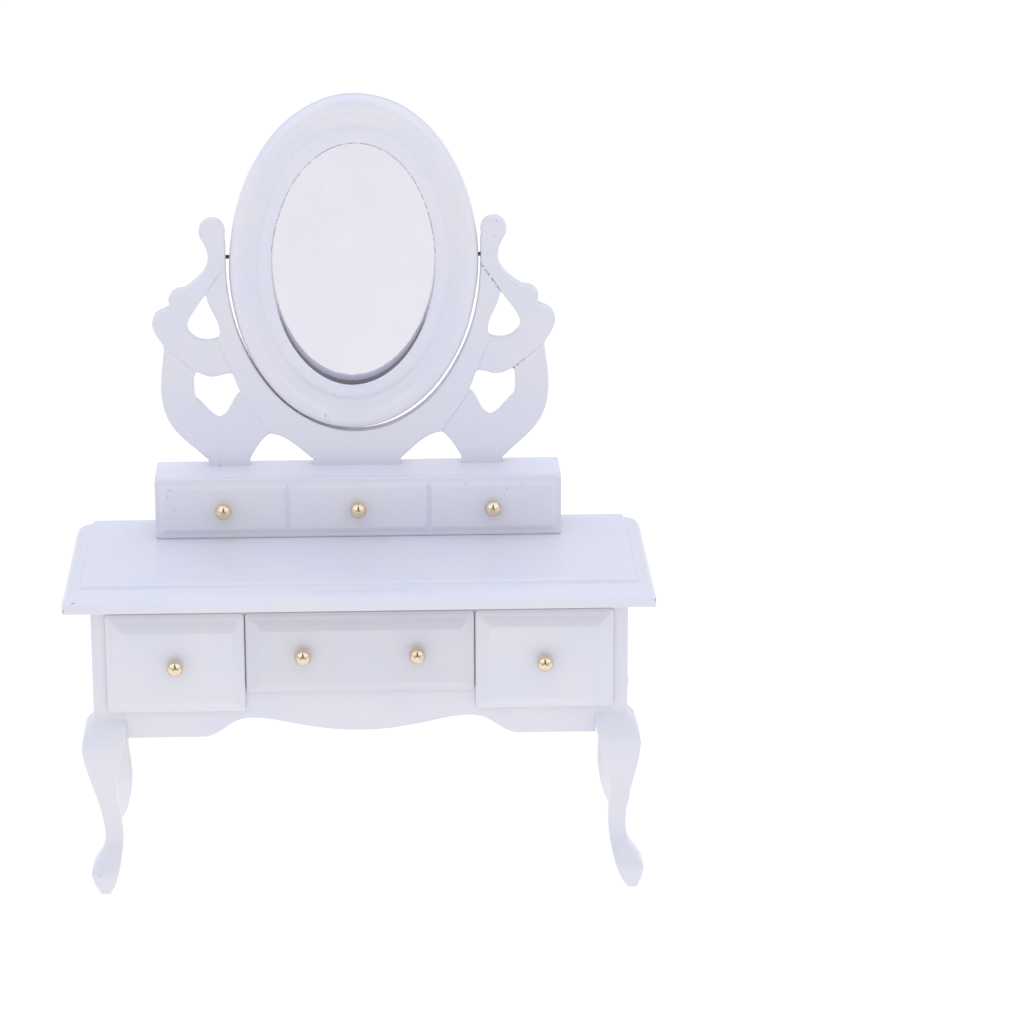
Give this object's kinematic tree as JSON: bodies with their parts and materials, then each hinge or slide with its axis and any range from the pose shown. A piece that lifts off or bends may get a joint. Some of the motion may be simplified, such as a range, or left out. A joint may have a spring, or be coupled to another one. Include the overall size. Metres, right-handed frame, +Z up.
{
  "type": "miniature dressing table",
  "caption": "Miniature cabriole-leg dressing table with overlay drawers that slide, a low riser of dummy drawers, and an oval mirror that swings between pierced scrolled brackets.",
  "frame": {"origin": "on the floor, under the middle of the tabletop", "axes": "+X to the right as seen from the front, +Y from front to back, +Z up"},
  "size_m": [0.115, 0.048, 0.1523],
  "materials": {
    "white_lacquer": "thick white satin lacquer over wood",
    "brass": "polished turned brass",
    "mirror": "flat silvered mirror",
    "copper": "bare copper-brown wire",
    "bare_wood": "bare sanded light wood",
    "backing_card": "matt brown card"
  },
  "bodies": {
    "table": {"back_panel": "white_lacquer", "centre_dust_board": "bare_wood", "front_apron": "white_lacquer", "left_dust_board": "bare_wood", "left_front_leg": "white_lacquer", "left_partition": "bare_wood", "left_pivot_pin": "copper", "left_rear_leg": "white_lacquer", "left_side_panel": "white_lacquer", "left_yoke_bracket": "white_lacquer", "left_yoke_foot": "white_lacquer", "left_yoke_scroll": "white_lacquer", "right_dust_board": "bare_wood", "right_front_leg": "white_lacquer", "right_partition": "bare_wood", "right_pivot_pin": "copper", "right_rear_leg": "white_lacquer", "right_side_panel": "white_lacquer", "right_yoke_bracket": "white_lacquer", "right_yoke_foot": "white_lacquer", "right_yoke_scroll": "white_lacquer", "riser_block": "white_lacquer", "riser_centre_knob": "brass", "riser_front": "white_lacquer", "riser_left_knob": "brass", "riser_right_knob": "brass", "tabletop": "white_lacquer", "top_rail": "white_lacquer", "yoke_crescent": "white_lacquer"},
    "left_drawer": {"left_drawer_back": "bare_wood", "left_drawer_bottom": "bare_wood", "left_drawer_front": "white_lacquer", "left_drawer_knob": "brass", "left_drawer_left_side": "bare_wood", "left_drawer_right_side": "bare_wood"},
    "centre_drawer": {"centre_drawer_back": "bare_wood", "centre_drawer_bottom": "bare_wood", "centre_drawer_front": "white_lacquer", "centre_drawer_left_knob": "brass", "centre_drawer_left_side": "bare_wood", "centre_drawer_right_knob": "brass", "centre_drawer_right_side": "bare_wood"},
    "right_drawer": {"right_drawer_back": "bare_wood", "right_drawer_bottom": "bare_wood", "right_drawer_front": "white_lacquer", "right_drawer_knob": "brass", "right_drawer_left_side": "bare_wood", "right_drawer_right_side": "bare_wood"},
    "mirror": {"mirror_backing": "backing_card", "mirror_frame": "white_lacquer", "mirror_glass": "mirror"}
  },
  "joints": [
    {"name": "left_drawer_slide", "type": "slide", "parent": "table", "child": "left_drawer", "axis": [0, -1, 0], "range_m": [0, 0.03]},
    {"name": "centre_drawer_slide", "type": "slide", "parent": "table", "child": "centre_drawer", "axis": [0, -1, 0], "range_m": [0, 0.03]},
    {"name": "right_drawer_slide", "type": "slide", "parent": "table", "child": "right_drawer", "axis": [0, -1, 0], "range_m": [0, 0.03]},
    {"name": "mirror_pivot", "type": "hinge", "parent": "table", "child": "mirror", "pos_m": [0, 0.0215, 0.1199], "axis": [1, 0, 0], "continuous": true}
  ]
}
